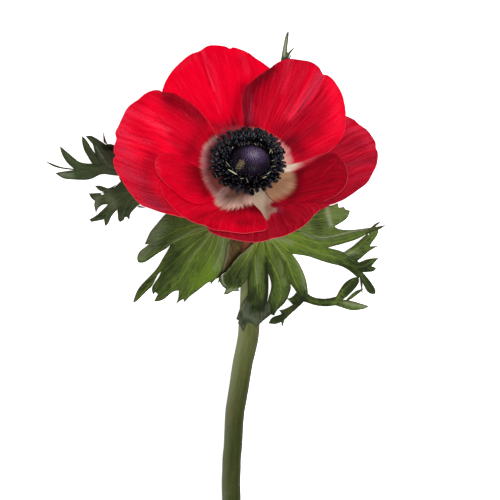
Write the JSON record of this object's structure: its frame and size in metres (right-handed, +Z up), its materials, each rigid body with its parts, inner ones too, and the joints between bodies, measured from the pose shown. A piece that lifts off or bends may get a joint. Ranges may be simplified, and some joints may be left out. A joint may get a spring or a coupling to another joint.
{
  "type": "cut anemone flower",
  "caption": "Cut red anemone with an open bowl of overlapping tepals, dark dome and stamens, a whorl of dissected bracts and a bare stem, lying on its side.",
  "frame": {"origin": "middle of the bounding box, on the surface that the flower lies on", "axes": "+Y from the cut end of the stem towards the flower, +Z up from the surface, +X to the flower's right as seen from above"},
  "size_m": [0.1052, 0.2522, 0.0464],
  "materials": {
    "tepal": "velvety crimson petal with fine radial streaks and a pale cream foot",
    "stem": "fleshy ribbed green stalk with fine down",
    "bract": "matt green leaf with pale veins, lighter below",
    "pistil": "violet-black dome of packed downy carpels",
    "stamen": "blue-black grainy anthers on dark violet filaments"
  },
  "bodies": {
    "root": {"stem": "stem", "tepal_top": "tepal", "tepal_top_right": "tepal", "tepal_left": "tepal", "tepal_far_right": "tepal", "tepal_front": "tepal", "tepal_right_inner": "tepal", "tepal_front_left": "tepal", "tepal_left_inner": "tepal", "pistil": "pistil", "stamens_outer": "stamen", "stamens_inner": "stamen", "bract_left": "bract", "bract_right": "bract", "bract_back": "bract"}
  },
  "joints": []
}
